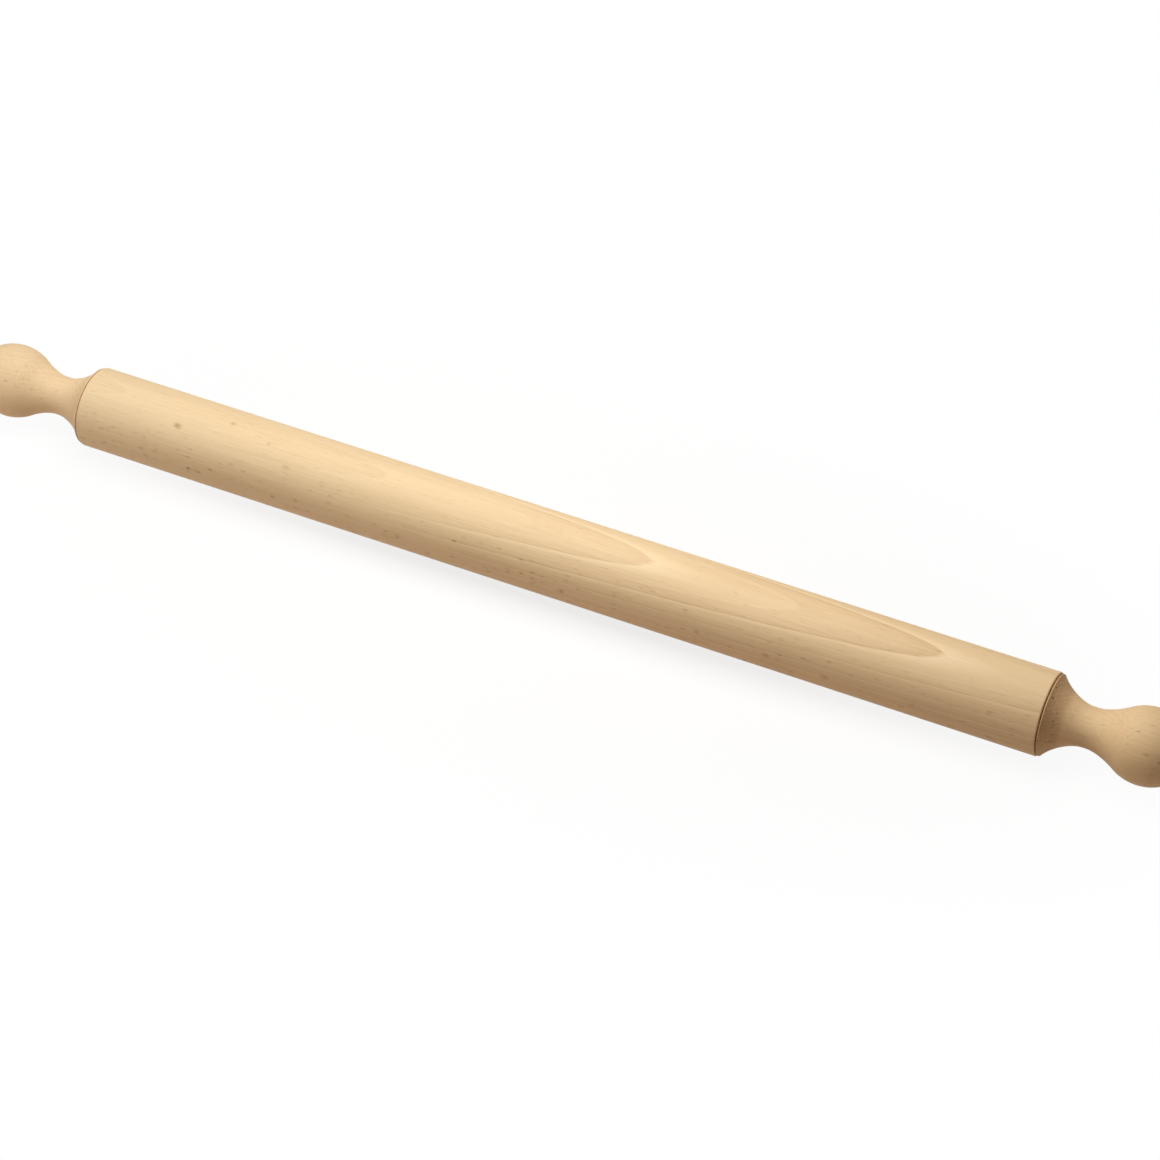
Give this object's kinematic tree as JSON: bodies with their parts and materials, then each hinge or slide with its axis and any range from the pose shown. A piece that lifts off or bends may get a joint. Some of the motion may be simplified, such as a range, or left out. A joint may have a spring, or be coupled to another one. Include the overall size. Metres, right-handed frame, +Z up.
{
  "type": "rolling pin",
  "caption": "Slender turned wooden rolling pin with revolving handles: plain barrel, coved necks and long ball knobs that run on bushes over steel studs.",
  "frame": {"origin": "middle of the barrel, on the axis that the barrel and both handles share", "axes": "+X along the pin towards the right handle, +Z up from the face that it rests on, +Y away from the cook"},
  "size_m": [0.6356, 0.04, 0.04],
  "materials": {
    "beech_barrel": "fine sanded, unvarnished, lightly oiled",
    "beech_handle": "fine sanded, unvarnished, lightly oiled",
    "beech_plug": "sanded end grain",
    "zinc_steel": "zinc plated",
    "nylon": "natural moulded nylon"
  },
  "bodies": {
    "barrel": {"barrel": "beech_barrel", "left_axle_stud": "zinc_steel", "left_thrust_washer": "zinc_steel", "left_retaining_washer": "zinc_steel", "left_lock_nut": "zinc_steel", "right_axle_stud": "zinc_steel", "right_thrust_washer": "zinc_steel", "right_retaining_washer": "zinc_steel", "right_lock_nut": "zinc_steel"},
    "left_handle": {"left_handle": "beech_handle", "left_inner_bush": "nylon", "left_outer_bush": "nylon", "left_end_plug": "beech_plug"},
    "right_handle": {"right_handle": "beech_handle", "right_inner_bush": "nylon", "right_outer_bush": "nylon", "right_end_plug": "beech_plug"}
  },
  "joints": [
    {"name": "left_handle_spin", "type": "hinge", "parent": "barrel", "child": "left_handle", "pos_m": [-0.25, 0, 0], "axis": [1, 0, 0], "continuous": true},
    {"name": "right_handle_spin", "type": "hinge", "parent": "barrel", "child": "right_handle", "pos_m": [0.25, 0, 0], "axis": [1, 0, 0], "continuous": true}
  ]
}
